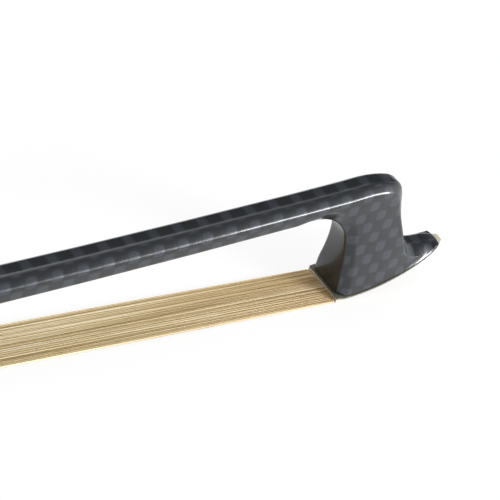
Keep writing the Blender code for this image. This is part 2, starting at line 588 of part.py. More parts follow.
def make_frog(parent, materials):
    base = -FROG_DEPTH
    frog = add_slab("frog_body", frog_outline(), FROG_WIDTH / 2, parent, materials["ebony"])
    soften(frog, 0.4 * MM, 50.0)
    inner_half = FERRULE_WIDTH / 2 - FERRULE_WALL - FIT_GAP
    tongue_top = base + FERRULE_HEIGHT - FERRULE_WALL - FIT_GAP
    tongue = add_bar(
        "frog_tongue", arch(inner_half, base + FERRULE_SIDE, base + TONGUE_BOTTOM, tongue_top),
        -0.5 * MM, -FERRULE_LENGTH - 2 * MM, parent)
    cut_away(frog, tongue, "UNION")
    cut_away(frog, add_bar("stick_seat", octagon(SEAT_HALF_FLATS), -FROG_LENGTH - MM, MM, parent))
    channel_top = base + PEARL_THICKNESS + GLUE_GAP + SLIDE_BASE_THICKNESS + FIT_GAP
    cut_away(frog, add_bar(
        "slide_channel", slide_section(base - MM, channel_top, SLIDE_HALF_WIDTH + FIT_GAP - 0.1 * MM, SLIDE_FLARE + 0.2 * MM),
        -FROG_LENGTH + HEEL_FOOT, -FERRULE_LENGTH + MM, parent))
    mortise_front = -FERRULE_LENGTH - 1.3 * MM
    mortise_rear = mortise_front - FROG_MORTISE_LENGTH
    cut_away(frog, add_block(
        "hair_mortise", (mortise_rear, -FROG_MORTISE_HALF_WIDTH, base - MM),
        (mortise_front, FROG_MORTISE_HALF_WIDTH, base + FROG_MORTISE_DEPTH), parent))
    cut_away(frog, add_block(
        "hair_passage", (mortise_rear + MM, -FROG_MORTISE_HALF_WIDTH - 0.2 * MM, base - MM),
        (-FERRULE_LENGTH + MM, FROG_MORTISE_HALF_WIDTH + 0.2 * MM, base + TONGUE_BOTTOM), parent))
    stem_end = -SEAT_HALF_FLATS - EYELET_STEM_LENGTH - FIT_GAP
    cut_away(frog, add_post(
        "eyelet_hole", EYELET_STEM_RADIUS + FIT_GAP, 16, -EYELET_SETBACK, stem_end, 0.0, parent))
    for name, direction in (("near", -1), ("far", 1)):
        seat_radius = EYE_PEARL_RADIUS + GLUE_GAP + EYE_RING_WIDTH + GLUE_GAP
        face = direction * FROG_WIDTH / 2
        depth = direction * (EYE_DEPTH + GLUE_GAP)
        cut_away(frog, make_disc(
            "eye_seat_" + name, seat_radius, 0.0, face - depth, face + depth, parent))
        make_disc("pearl_eye_" + name, EYE_PEARL_RADIUS, 0.0, face - direction * EYE_DEPTH, face, parent, materials["pearl"])
        make_disc(
            "eye_ring_" + name, EYE_PEARL_RADIUS + GLUE_GAP + EYE_RING_WIDTH, EYE_PEARL_RADIUS + GLUE_GAP,
            face - direction * EYE_DEPTH, face, parent, materials["nickel_silver"])
    knot_x = -FERRULE_LENGTH - 2.4 * MM - FIT_GAP - KNOT_RADIUS
    knot_z = base + FROG_MORTISE_DEPTH - FIT_GAP - KNOT_RADIUS
    make_knot("frog_hair_knot", knot_x, knot_z, FROG_MORTISE_HALF_WIDTH - FIT_GAP, parent, materials["thread"])
    add_block(
        "frog_plug", (mortise_rear + FIT_GAP, -FROG_MORTISE_HALF_WIDTH + FIT_GAP, channel_top),
        (-FERRULE_LENGTH - 2.4 * MM - FIT_GAP, FROG_MORTISE_HALF_WIDTH - FIT_GAP, knot_z - KNOT_RADIUS - FIT_GAP),
        parent, materials["maple"])
    wedge_low = base + HAIR_LEVEL + HAIR_THICKNESS / 2 + FIT_GAP
    add_block(
        "spread_wedge", (-WEDGE_LENGTH, -WEDGE_HALF_WIDTH, wedge_low),
        (-0.4 * MM, WEDGE_HALF_WIDTH, base + TONGUE_BOTTOM - FIT_GAP), parent, materials["maple"])
    make_heel(frog, parent, materials)
    return frog


def make_disc(name, radius, bore, y_start, y_end, parent, material=None):
    """A round inlay across Y in the frog's side, or a ring where a bore is given."""
    centre_z = -FROG_DEPTH + EYE_HEIGHT
    def ring(r, y):
        return [(-EYELET_SETBACK + a, y, centre_z + b) for a, b in circle(r, 28)]
    if bore:
        rings = [ring(radius, y_start), ring(radius, y_end), ring(bore, y_end), ring(bore, y_start)]
        return add_loft(name, rings, parent, material, closed=True)
    return add_loft(name, [ring(radius, y_start), ring(radius, y_end)], parent, material)


def make_heel(frog, parent, materials):
    """The L-shaped metal heel plate and the pins that hold it."""
    base = -FROG_DEPTH
    rear = -FROG_LENGTH
    front = rear + HEEL_FOOT
    thick = HEEL_THICKNESS
    outline = [
        (front, base), (rear, base), (rear, base + HEEL_BACK), (rear + thick, base + HEEL_BACK),
        (rear + thick, base + thick), (front, base + thick),
    ]
    heel = add_slab("heel_plate", outline, FROG_WIDTH / 2 - 0.05 * MM, parent, materials["nickel_silver"])
    hole = HEEL_PIN_RADIUS + PIN_GAP
    top = base + HEEL_PIN_LENGTH
    for name, share in (("heel_pin_front", 0.25), ("heel_pin_rear", 0.7)):
        x = front - HEEL_FOOT * share
        add_post(name, HEEL_PIN_RADIUS, 12, x, base, top, parent, materials["nickel_silver"])
        foot_hole = add_post(name + "_hole", hole, 12, x, base - MM, top + PIN_GAP, parent)
        cut_away(heel, foot_hole)
        cut_away(frog, foot_hole)
    height = base + HEEL_BACK * 0.75
    end = rear + HEEL_PIN_LENGTH
    pin = circle(HEEL_PIN_RADIUS, 12, z=height)
    add_bar("heel_pin_back", pin, rear, end, parent, materials["nickel_silver"])
    back_hole = add_bar("back_hole", circle(hole, 12, z=height), rear - MM, end + PIN_GAP, parent)
    cut_away(heel, back_hole)
    cut_away(frog, back_hole)


def make_frog_fittings(parent, materials):
    base = -FROG_DEPTH
    side = base + FERRULE_SIDE
    outer = arch(FERRULE_WIDTH / 2, side, base, base + FERRULE_HEIGHT)
    inner = arch(FERRULE_WIDTH / 2 - FERRULE_WALL, side, base + FERRULE_WALL, base + FERRULE_HEIGHT - FERRULE_WALL)
    shade_round(add_tube("ferrule", outer, inner, -FERRULE_LENGTH, 0.0, parent, materials["nickel_silver"]))
    slide_rear = -FROG_LENGTH + HEEL_FOOT + FIT_GAP
    slide_front = -FERRULE_LENGTH - FIT_GAP
    flare_share = PEARL_THICKNESS / (PEARL_THICKNESS + GLUE_GAP + SLIDE_BASE_THICKNESS)
    pearl_top = base + PEARL_THICKNESS
    add_bar(
        "pearl_slide", slide_section(base, pearl_top, SLIDE_HALF_WIDTH, SLIDE_FLARE * flare_share), slide_rear,
        slide_front, parent, materials["pearl"])
    base_low = pearl_top + GLUE_GAP
    slide_base = add_bar(
        "slide_base", slide_section(
            base_low, base_low + SLIDE_BASE_THICKNESS, SLIDE_HALF_WIDTH + SLIDE_FLARE * flare_share,
            SLIDE_FLARE * (1 - flare_share)),
        slide_rear, slide_front, parent, materials["ebony"])
    tongue = add_block(
        "slide_tongue", (slide_front - MM, -SLIDE_HALF_WIDTH, base_low),
        (slide_front + SLIDE_TONGUE, SLIDE_HALF_WIDTH, base_low + 0.7 * MM), parent)
    cut_away(slide_base, tongue, "UNION")
    inner_flats = FLATS_AT_FROG / 2 + FIT_GAP
    outer_flats = inner_flats + UNDERSLIDE_THICKNESS
    section = [octagon(inner_flats)[i] for i in (7, 6, 5, 4)] + [octagon(outer_flats)[i] for i in (4, 5, 6, 7)]
    underslide = add_bar(
        "underslide", section, -FROG_LENGTH, -THUMB_TIP_SETBACK - 0.8 * MM, parent, materials["nickel_silver"])
    cut_away(underslide, add_post(
        "underslide_hole", EYELET_STEM_RADIUS + FIT_GAP, 16, -EYELET_SETBACK, -FROG_DEPTH / 2, 0.0, parent))


def make_eyelet(parent, material):
    """Threaded brass nut: a block with a round top and the screw's hole, on a round stem."""
    half = EYELET_HALF_WIDTH
    top = BORE_RADIUS + EYELET_WALL_ABOVE
    bottom = -FLATS_AT_FROG / 2 + FIT_GAP
    x_rear = -EYELET_SETBACK - EYELET_LENGTH / 2
    x_front = -EYELET_SETBACK + EYELET_LENGTH / 2
    section = [(half, bottom), (half, 0.4 * top)]
    section += [(half * math.cos(a), 0.4 * top + 0.6 * top * math.sin(a)) for a in (0.6, 1.1, math.pi / 2, 2.04, 2.54)]
    section += [(-half, 0.4 * top), (-half, bottom)]
    eyelet = add_bar("eyelet", section, x_rear, x_front, parent, material)
    stem = add_post(
        "eyelet_stem", EYELET_STEM_RADIUS, 16, -EYELET_SETBACK, -SEAT_HALF_FLATS - EYELET_STEM_LENGTH,
        bottom + 0.8 * MM, parent)
    cut_away(eyelet, stem, "UNION")
    cut_away(eyelet, add_bar("eyelet_thread", circle(BORE_RADIUS, 24), x_rear - MM, x_front + MM, parent))


def make_button(parent, materials):
    """The screw and its button: front ring, ebony core, rear ring and the pearl in its end."""
    x = BUTTON_FRONT_X
    corner = octagon(BUTTON_FLATS / 2)
    outer = []
    for i in range(8):
        (ay, az), (by, bz) = corner[i], corner[(i + 1) % 8]
        outer += [(ay, az), ((ay * 2 + by) / 3, (az * 2 + bz) / 3), ((ay + by * 2) / 3, (az + bz * 2) / 3)]
    turn = math.atan2(outer[0][1], outer[0][0])
    bore = [
        (RING_BORE * math.cos(turn + 2 * math.pi * i / 24), RING_BORE * math.sin(turn + 2 * math.pi * i / 24))
        for i in range(24)
    ]
    front_end = x - FRONT_RING_LENGTH
    add_tube("button_front_ring", outer, bore, front_end, x, parent, materials["nickel_silver"])
    core_front = front_end - PIN_GAP
    core_rear = core_front - CORE_BAND_LENGTH
    rear_start = core_rear - PIN_GAP
    rear_end = rear_start - REAR_RING_LENGTH
    add_tube("button_rear_ring", outer, bore, rear_end, rear_start, parent, materials["nickel_silver"])
    spigot = circle(RING_BORE - FIT_GAP, 24)
    core = add_bar("button_core", octagon(BUTTON_CORE_FLATS / 2), core_rear, core_front, parent, materials["ebony"])
    pearl_front = rear_end + BUTTON_PEARL_THICKNESS
    spigot_front = BUTT_X - NIPPLE_LENGTH - 2 * FIT_GAP
    spigot_rear = pearl_front + FIT_GAP
    cut_away(core, add_bar("core_spigot", spigot, spigot_rear, spigot_front, parent), "UNION")
    screw_end = spigot_rear + MM
    cut_away(core, add_bar("core_bore", circle(BORE_RADIUS, 24), screw_end - FIT_GAP, x + MM, parent))
    add_bar("button_pearl", spigot, rear_end + 0.1 * MM, pearl_front, parent, materials["pearl"])
    screw = add_bar(
        "adjusting_screw", circle(SCREW_RADIUS, 24), screw_end, -SCREW_NOSE_SETBACK, parent, materials["steel"])
    shade_round(screw)


def octagon_walk(half_flats, share):
    """The (y, z) point at a share of the way round an octagon, from the middle of its top."""
    corners = octagon(half_flats)
    start = ((corners[1][0] + corners[2][0]) / 2, corners[1][1])
    loop = [start] + corners[2:] + corners[:2] + [start]
    lengths = [math.dist(a, b) for a, b in zip(loop, loop[1:])]
    target = (share % 1.0) * sum(lengths)
    for (a, b), length in zip(zip(loop, loop[1:]), lengths):
        if target <= length:
            t = target / length
            return a[0] + (b[0] - a[0]) * t, a[1] + (b[1] - a[1]) * t
        target -= length
    return start


def make_grip(line, materials):
    """Thumb leather, and one unbroken strip wound round the stick ahead of it."""
    inner = FLATS_AT_FROG / 2 + FIT_GAP
    start = -LEATHER_START_SETBACK
    end = start + LEATHER_LENGTH
    add_tube(
        "thumb_leather", octagon(inner + LEATHER_THICKNESS), octagon(inner), start, end, line, materials["leather"])
    steps = 16
    low = inner
    high = inner + WINDING_THICKNESS
    rings = []
    for i in range(WINDING_TURNS * steps + 1):
        share = i / steps
        x = end + FIT_GAP + WINDING_WIDTH / 2 + share * WINDING_PITCH
        ring = []
        for half_flats, offset in ((low, -0.5), (high, -0.36), (high, 0.36), (low, 0.5)):
            y, z = octagon_walk(half_flats, (i % steps) / steps)
            ring.append((x + offset * WINDING_WIDTH, y, z))
        rings.append(ring)
    add_loft("grip_winding", rings, line, materials["winding"])
    print("winding: least gap to itself", round((WINDING_PITCH - WINDING_WIDTH) / MM, 2), "mm")


def build():
    for thing in list(bpy.data.objects):
        bpy.data.objects.remove(thing)
    materials = {
        "carbon": make_material("moulded_carbon", (0.025, 0.03, 0.036), 0.18),
        "bone": make_material("bone", (0.66, 0.61, 0.5), 0.4),
        "grey_liner": make_material("grey_liner", (0.13, 0.13, 0.11), 0.4),
        "maple": make_material("maple", (0.6, 0.43, 0.24), 0.6),
        "thread": make_material("bound_hair", (0.75, 0.7, 0.58), 0.7),
        "hair": make_material("horsehair", (0.62, 0.52, 0.36), 0.5),
        "ebony": make_material("ebony", (0.025, 0.02, 0.018), 0.35),
        "nickel_silver": make_material("nickel_silver", (0.62, 0.6, 0.56), 0.28, 1.0),
        "pearl": make_material("mother_of_pearl", (0.75, 0.76, 0.74), 0.2),
        "brass": make_material("brass", (0.7, 0.5, 0.2), 0.3, 1.0),
        "steel": make_material("steel", (0.5, 0.5, 0.52), 0.3, 1.0),
        "leather": make_material("black_leather", (0.03, 0.025, 0.022), 0.6),
        "winding": make_material("silver_lapping", (0.6, 0.6, 0.6), 0.3, 1.0),
    }
    head_frame = add_empty("head_frame", (HEAD_FRAME_X, 0, 0))
    frog_place = (-FROG_FROM_HEAD, 0, FROG_AXIS_HEIGHT)
    stick_line = add_empty("stick_line", frog_place, TILT, head_frame)
    frog_axis = add_empty("frog_axis", frog_place, TILT, head_frame)
    button_axis = add_empty("button_axis", frog_place, TILT, head_frame)
    make_stick(head_frame, stick_line, materials["carbon"])
    make_tip_pieces(head_frame, materials)
    make_hair(head_frame, materials["hair"])
    make_grip(stick_line, materials)
    bushing_outer = BORE_RADIUS + BUSHING_WALL
    add_tube(
        "butt_bushing", circle(bushing_outer, 24), circle(BORE_RADIUS, 24), BUTT_X - NIPPLE_LENGTH,
        BUTT_X - NIPPLE_LENGTH + BUSHING_LENGTH, stick_line, materials["brass"])
    make_frog(frog_axis, materials)
    make_frog_fittings(frog_axis, materials)
    make_eyelet(frog_axis, materials["brass"])
    make_button(button_axis, materials)
    print("frog tilt", round(math.degrees(TILT), 3), "degrees")
    for label, (x, z) in (
        ("frog origin", (0.0, 0.0)), ("slide face", (-(FERRULE_LENGTH + FROG_LENGTH - HEEL_FOOT) / 2, -FROG_DEPTH)),
    ):
        head_x, head_z = frog_to_head(x, z)
        print(label, round(head_x + HEAD_FRAME_X, 6), round(head_z, 6))


build()
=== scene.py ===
# %% [markdown]
# # A violin bow with a moulded carbon stick
# The bow's solid pieces are already modelled, in metres, with the hair down and the tip towards +X.
# This lesson dresses them: edges are rounded as the maker's file and buffing wheel leave them, the
# band of hair is laid hair by hair, and each finish is built from nodes at its real scale.

import json
import math

import bmesh
import bpy
from mathutils import Matrix, Vector


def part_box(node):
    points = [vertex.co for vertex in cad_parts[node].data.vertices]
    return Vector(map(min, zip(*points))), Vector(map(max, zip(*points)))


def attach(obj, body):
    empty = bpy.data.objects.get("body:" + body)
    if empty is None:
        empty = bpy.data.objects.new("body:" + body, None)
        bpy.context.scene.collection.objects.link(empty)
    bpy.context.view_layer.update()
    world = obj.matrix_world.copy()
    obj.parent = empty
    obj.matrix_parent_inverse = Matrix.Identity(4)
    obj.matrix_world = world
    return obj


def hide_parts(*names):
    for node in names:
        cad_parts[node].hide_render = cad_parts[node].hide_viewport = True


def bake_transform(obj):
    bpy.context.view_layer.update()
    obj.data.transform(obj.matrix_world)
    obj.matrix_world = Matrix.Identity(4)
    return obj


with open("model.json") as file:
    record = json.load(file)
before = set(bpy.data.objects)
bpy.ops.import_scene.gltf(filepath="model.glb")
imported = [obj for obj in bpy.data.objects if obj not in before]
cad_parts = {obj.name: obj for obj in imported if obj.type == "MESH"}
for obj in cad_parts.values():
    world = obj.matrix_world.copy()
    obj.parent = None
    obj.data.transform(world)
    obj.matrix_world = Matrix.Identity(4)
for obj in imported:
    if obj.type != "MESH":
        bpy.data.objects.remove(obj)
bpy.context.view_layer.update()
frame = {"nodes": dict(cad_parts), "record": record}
NODES = frame["nodes"]
BEHAVIOUR = frame["record"]["behaviour"]
MM = 0.001
PLATE_REAR_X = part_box("tip_plate")[0][0]
print("plate's rear edge at x =", round(PLATE_REAR_X, 5), "m;", len(NODES), "solid pieces")

# %% [markdown]
# Everything along the rear of the bow lies on the screw's axis, which tilts a little because the
# stick is cambered. The button's joint holds that axis, so places on the grip are stated as a
# distance along it, a distance across and a height.

# %% Places along the screw's axis
BUTTON_JOINT = next(joint for joint in BEHAVIOUR["joints"] if joint["name"] == "button_turn")
AXIS_ORIGIN = Vector(BUTTON_JOINT["pos_m"])
AXIS = Vector(BUTTON_JOINT["axis"]).normalized()
AXIS_UP = Vector((-AXIS.z, 0.0, AXIS.x))


def along_screw(distance, across=0.0, height=0.0):
    """A point stated in millimetres from the frog's front, along the screw's axis."""
    return AXIS_ORIGIN + AXIS * distance * MM + Vector((0, across * MM, 0)) + AXIS_UP * height * MM


print("the screw's axis tilts", round(math.degrees(math.asin(-AXIS.z)), 2), "degrees")

# %% [markdown]
# Operators act on whatever is selected, and the loaded pieces are selected at first. Each step
# therefore clears the selection and picks its own piece.

# %% Select one piece
def pick(piece):
    """Leave edit mode, deselect everything and make this piece the active one."""
    if bpy.context.mode != "OBJECT":
        bpy.ops.object.mode_set(mode="OBJECT")
    bpy.ops.object.select_all(action="DESELECT")
    piece.select_set(True)
    bpy.context.view_layer.objects.active = piece


def apply_modifiers(piece):
    pick(piece)
    for modifier in list(piece.modifiers):
        bpy.ops.object.modifier_apply(modifier=modifier.name)


print("helpers ready")

# %% [markdown]
# A metal or wooden edge is never perfectly sharp, and the light that runs along it is what tells
# the eye how big a thing is. A copy of the solid is merged, its flat faces are joined again, and a
# Bevel modifier rounds the edges. The solid itself stays as it is and is hidden.

# %% Round the edges of a copy
def body_of(node):
    return next(body for body, names in BEHAVIOUR["bodies"].items() if node in names)


def weigh_edges(piece, angle, share_at):
    """Give each sharp edge the share of the full rounding that share_at(x) says."""
    shape = bmesh.new()
    shape.from_mesh(piece.data)
    weight = shape.edges.layers.float.new("bevel_weight_edge")
    for edge in shape.edges:
        if edge.is_manifold and edge.calc_face_angle() > math.radians(angle):
            edge[weight] = share_at(max(corner.co.x for corner in edge.verts))
    shape.to_mesh(piece.data)
    shape.free()


def rounded_copy(node, name, edge, angle=30.0, segments=3, smooth=32.0, share_at=None):
    """The node's shape with rounded edges, as a new piece that stands for it."""
    piece = bpy.data.objects.new(name, NODES[node].data.copy())
    bpy.context.scene.collection.objects.link(piece)
    pick(piece)
    bpy.ops.object.mode_set(mode="EDIT")
    bpy.ops.mesh.select_all(action="SELECT")
    bpy.ops.mesh.remove_doubles(threshold=0.000002)
    bpy.ops.mesh.dissolve_limited(angle_limit=math.radians(0.2))
    bpy.ops.object.mode_set(mode="OBJECT")
    bevel = piece.modifiers.new("edges", "BEVEL")
    bevel.width = edge * MM
    bevel.segments = segments
    bevel.limit_method = "ANGLE"
    if share_at:
        weigh_edges(piece, angle, share_at)
        bevel.limit_method = "WEIGHT"
        bevel.use_clamp_overlap = False
    bevel.angle_limit = math.radians(angle)
    apply_modifiers(piece)
    bpy.ops.object.shade_smooth_by_angle(angle=math.radians(smooth))
    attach(piece, body_of(node))
    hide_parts(node)
    return piece


BEAK_START = PLATE_REAR_X + 14 * MM
BEAK_THIN = PLATE_REAR_X + 18.5 * MM
LEATHER_MIDDLE_X = (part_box("thumb_leather")[0][0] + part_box("thumb_leather")[1][0]) / 2


def stick_share(x):
    """All of the rounding on stick and head, little on the thin beak and the cuts at the rear."""
    if x < LEATHER_MIDDLE_X:
        return 0.15
    passed = (x - BEAK_START) / (BEAK_THIN - BEAK_START)
    return 1.0 - 0.9 * min(1.0, max(0.0, passed))


STICK = rounded_copy(
    "stick", "moulded_stick", 0.4, angle=24.0, segments=4, smooth=44.0, share_at=stick_share)
print("moulded stick:", len(STICK.data.polygons), "faces")

# %% [markdown]
# The fittings are turned, filed and polished. Each takes the edge radius that its tool leaves:
# a tenth of a millimetre on sheet metal, more on ebony and pearl.

# %% Round the fittings
FITTINGS = {
    "tip_plate": ("tip_plate_filed", 0.12),
    "ferrule": ("ferrule_polished", 0.12),
    "heel_plate": ("heel_plate_filed", 0.1),
    "frog_body": ("frog_carved", 0.12),
    "button_front_ring": ("front_ring_turned", 0.2),
    "button_rear_ring": ("rear_ring_turned", 0.2),
    "button_core": ("button_band_turned", 0.15),
    "button_pearl": ("button_pearl_set", 0.15),
}
DRESSED = {node: rounded_copy(node, name, edge) for node, (name, edge) in FITTINGS.items()}
for node, piece in DRESSED.items():
    print(node, "->", piece.name, len(piece.data.polygons), "faces")

# %% [markdown]
# The grip is a flat strip wound round the octagon, with a sleeve of thin leather behind it. The
# leather is soft, so its corners are much rounder than those of the stick beneath.

# %% Wrap the grip
WINDING = rounded_copy("grip_winding", "wound_strip", 0.12, segments=2)
LEATHER = rounded_copy("thumb_leather", "leather_sleeve", 0.42, segments=4, smooth=60.0)
print("winding:", len(WINDING.data.polygons), "faces; leather:", len(LEATHER.data.polygons), "faces")

# %% [markdown]
# A bow carries about 150 hairs, combed flat. One hair is extruded along the band's path, from the
# head's mortise to the ferrule, and is then copied across. The copies lie in three layers, a little
# out of line, so that light and dark hairs show between each other as they do on the real band.

# %% Lay the hair
HAIR_RADIUS = 0.11 * MM
HAIRS_ACROSS = 50
LAYERS = 3
HEAD_HALF_WIDTH = 4.35 * MM
FROG_HALF_WIDTH = 5.2 * MM
FERRULE_FRONT = along_screw(0.0, height=-22.5)
FERRULE_REAR = along_screw(-12.0, height=-22.5)


def hair_path():
    """Points (x, z, half-width of the band) from the head's mortise into the ferrule."""
    head = PLATE_REAR_X
    points = [
        (head + 6.1 * MM, 2.6 * MM, 2.7 * MM), (head + 5.6 * MM, 0.6 * MM, 2.7 * MM),
        (head + 4.8 * MM, 0.22 * MM, 2.75 * MM), (head + 0.3 * MM, 0.22 * MM, 3.75 * MM),
        (head - 0.6 * MM, 0.22 * MM, HEAD_HALF_WIDTH),
    ]
    spans = 16
    start = points[-1]
    for i in range(1, spans + 1):
        share = i / spans
        points.append(tuple(a + (b - a) * share for a, b in zip(
            start, (FERRULE_FRONT.x, FERRULE_FRONT.z, FROG_HALF_WIDTH))))
    points.append((FERRULE_REAR.x, FERRULE_REAR.z, FROG_HALF_WIDTH))
    return points


def extrude_hair(points):
    """One hair: a five-sided ring, extruded from point to point."""
    x, z, _ = points[0]
    bpy.ops.mesh.primitive_circle_add(
        vertices=5, radius=HAIR_RADIUS, fill_type="NGON", location=(x, 0, z), rotation=(0, math.pi / 2, 0))
    hair = bpy.context.active_object
    bpy.ops.object.transform_apply(location=True, rotation=True, scale=True)
    bpy.ops.object.mode_set(mode="EDIT")
    bpy.ops.mesh.select_all(action="SELECT")
    for (ax, az, _), (bx, bz, _) in zip(points, points[1:]):
        bpy.ops.mesh.extrude_region_move(TRANSFORM_OT_translate={"value": (bx - ax, 0, bz - az)})
    bpy.ops.mesh.select_all(action="SELECT")
    bpy.ops.mesh.normals_make_consistent(inside=False)
    bpy.ops.object.mode_set(mode="OBJECT")
    return hair


PATH = hair_path()
pick(STICK)
bpy.ops.object.select_all(action="DESELECT")
ONE_HAIR = extrude_hair(PATH)
ONE_HAIR.name = "one_hair"
print("one hair:", len(PATH), "rings,", len(ONE_HAIR.data.vertices), "vertices")

# %% [markdown]
# The copies are joined and then fanned out ring by ring: the band is narrowest in the head's
# mortise and widest in the ferrule. A seeded offset for each hair keeps the band from looking ruled.

# %% Fan the band out
import random

comb = random.Random(7)
copies = []
for layer in range(LAYERS):
    for i in range(HAIRS_ACROSS):
        share = -1 + 2 * (i + 0.5 * (layer % 2)) / (HAIRS_ACROSS - 0.5)
        share += comb.uniform(-0.008, 0.008)
        drop = (layer - 1) * 0.1 * MM + comb.uniform(-0.03, 0.03) * MM
        hair = ONE_HAIR.copy()
        hair.data = ONE_HAIR.data.copy()
        wander = comb.uniform(-1, 1) * 0.05
        bend = comb.uniform(4, 9)
        for ring, (x, z, half_width) in enumerate(PATH):
            along = ring / (len(PATH) - 1)
            side = share + wander * math.sin(bend * along) * math.sin(math.pi * along)
            side = max(-1.0, min(1.0, side))
            for corner in range(5):
                vertex = hair.data.vertices[ring * 5 + corner]
                vertex.co.y += side * half_width
                vertex.co.z += drop
        bpy.context.scene.collection.objects.link(hair)
        copies.append(hair)
pick(copies[0])
for hair in copies:
    hair.select_set(True)
bpy.ops.object.join()
HAIR = bpy.context.active_object
HAIR.name = "combed_hair"
bpy.data.objects.remove(ONE_HAIR)
pick(HAIR)
bpy.ops.object.shade_smooth()
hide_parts("hair_ribbon")
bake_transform(HAIR)
print("hair:", len(HAIR.data.polygons), "faces")

# %% [markdown]
# Colours are written as the sRGB hex values that a colour picker shows, and the shader wants them
# linear. One helper adds a node with its settings and its links, so a material reads as a list.

# %% Colour and node helpers
def linear(hex_color):
    channels = [int(hex_color[i:i + 2], 16) / 255 for i in (1, 3, 5)]
    return tuple(c / 12.92 if c <= 0.04045 else ((c + 0.055) / 1.055) ** 2.4 for c in channels) + (1.0,)


def new_material(name, roughness=0.5, metallic=0.0, coat=0.0, coat_roughness=0.03):
    material = bpy.data.materials.new(name)
    material.use_nodes = True
    shader = material.node_tree.nodes["Principled BSDF"]
    shader.inputs["Roughness"].default_value = roughness
    shader.inputs["Metallic"].default_value = metallic
    shader.inputs["Coat Weight"].default_value = coat
    shader.inputs["Coat Roughness"].default_value = coat_roughness
    return material, shader


def add_node(material, kind, links=(), **settings):
    """Add a node; settings are its properties, or its inputs by name, and links feed its inputs."""
    tree = material.node_tree
    made = tree.nodes.new(kind)
    for key, value in settings.items():
        label = key.replace("_", " ").title()
        if hasattr(made, key):
            setattr(made, key, value)
        else:
            made.inputs[label].default_value = value
    for socket, source in dict(links).items():
        tree.links.new(source, made.inputs[socket])
    return made


print("linear mid grey:", round(linear("#808080")[0], 4))

# %% [markdown]
# The stick is carbon cloth in a clear resin: flat tows about 2.3 mm wide, woven over and under each
# other. The product of two sine waves is positive where one tow is on top and negative where the
# other is, and it swells in the middle of each crossing as the tow does. The tows on top are
# coloured lighter, brightest in the middle of each crossing. That is painted sheen, standing in for
# the light the bulging fibres mirror, laid out on the weave's own pattern. The pattern follows a UV
# map that is measured in millimetres along the stick and up its sides.

# %% Measure the stick for its cloth
DIP = -240 * MM
STRAIGHT = -470 * MM
HEAD_HEIGHT = 21.4 * MM
HEAD_SLOPE = 0.123
DIP_HEIGHT = HEAD_HEIGHT + HEAD_SLOPE * DIP / 2


def centre_height(x):
    """Height of the stick's middle line, x measured from the plate's rear edge."""
    if x > 0:
        return HEAD_HEIGHT
    if x > DIP:
        return HEAD_HEIGHT + HEAD_SLOPE * x - HEAD_SLOPE / DIP * x * x / 2
    rise = -AXIS.z / AXIS.x
    if x > STRAIGHT:
        return DIP_HEIGHT + rise / (DIP - STRAIGHT) * (DIP - x) ** 2 / 2
    return AXIS_ORIGIN.z - (x + PLATE_REAR_X - AXIS_ORIGIN.x) * rise


cloth_map = STICK.data.uv_layers.new(name="cloth")
for face in STICK.data.polygons:
    on_side = abs(face.normal.y) > max(abs(face.normal.z), abs(face.normal.x)) * 0.9
    for loop in face.loop_indices:
        point = STICK.data.vertices[STICK.data.loops[loop].vertex_index].co
        up = point.z - centre_height(point.x - PLATE_REAR_X)
        girth = up if on_side else abs(point.y) + 1.1 * MM
        cloth_map.data[loop].uv = (point.x / MM, girth / MM)
print("cloth mapped on", len(STICK.data.polygons), "faces")

# %% Moulded carbon cloth
TOW = 2.3
carbon, carbon_shader = new_material("moulded carbon cloth", roughness=0.3, metallic=0.35, coat=0.4)
cloth = add_node(carbon, "ShaderNodeUVMap", uv_map="cloth")
part = add_node(carbon, "ShaderNodeSeparateXYZ", {"Vector": cloth.outputs["UV"]})
waves = []
for axis in ("X", "Y"):
    turned = add_node(carbon, "ShaderNodeMath", {0: part.outputs[axis]}, operation="MULTIPLY")
    turned.inputs[1].default_value = math.pi / TOW
    waves.append(add_node(carbon, "ShaderNodeMath", {0: turned.outputs[0]}, operation="SINE"))
crossing = add_node(
    carbon, "ShaderNodeMath", {0: waves[0].outputs[0], 1: waves[1].outputs[0]}, operation="MULTIPLY")
fibres = add_node(carbon, "ShaderNodeTexNoise", {"Vector": cloth.outputs["UV"]}, scale=6.0, detail=2.0)
LOOSENESS = 0.45
loose = add_node(carbon, "ShaderNodeMath", {0: fibres.outputs[0]}, operation="MULTIPLY_ADD")
loose.inputs[1].default_value = LOOSENESS
loose.inputs[2].default_value = -LOOSENESS / 2
uneven = add_node(carbon, "ShaderNodeMath", {0: crossing.outputs[0], 1: loose.outputs[0]}, operation="ADD")
# Painted sheen: the lighter tones of the tows on top, brightest at each crossing's middle, stand in for the
# light their fibres mirror.
tow_tone_and_sheen = add_node(carbon, "ShaderNodeValToRGB", {"Fac": uneven.outputs[0]})
ramp = tow_tone_and_sheen.color_ramp
ramp.elements[0].position = 0.0
ramp.elements[0].color = linear("#1c1f23")
ramp.elements[1].position = 0.34
ramp.elements[1].color = linear("#30343a")
middle = ramp.elements.new(0.14)
middle.color = linear("#22262b")
carbon.node_tree.links.new(tow_tone_and_sheen.outputs["Color"], carbon_shader.inputs["Base Color"])
swell = add_node(carbon, "ShaderNodeMath", {0: crossing.outputs[0]}, operation="ABSOLUTE")
relief = add_node(carbon, "ShaderNodeBump", {"Height": swell.outputs[0]}, strength=0.25, distance=0.00006)
carbon.node_tree.links.new(relief.outputs["Normal"], carbon_shader.inputs["Normal"])
print("tows", TOW, "mm wide")

# %% [markdown]
# Most other finishes differ in the same few ways: two or three tones laid out by a stretched noise,
# a small relief and a gloss. One function makes such a finish from its tones, the size of its
# pattern in millimetres and how much longer than wide that pattern runs.

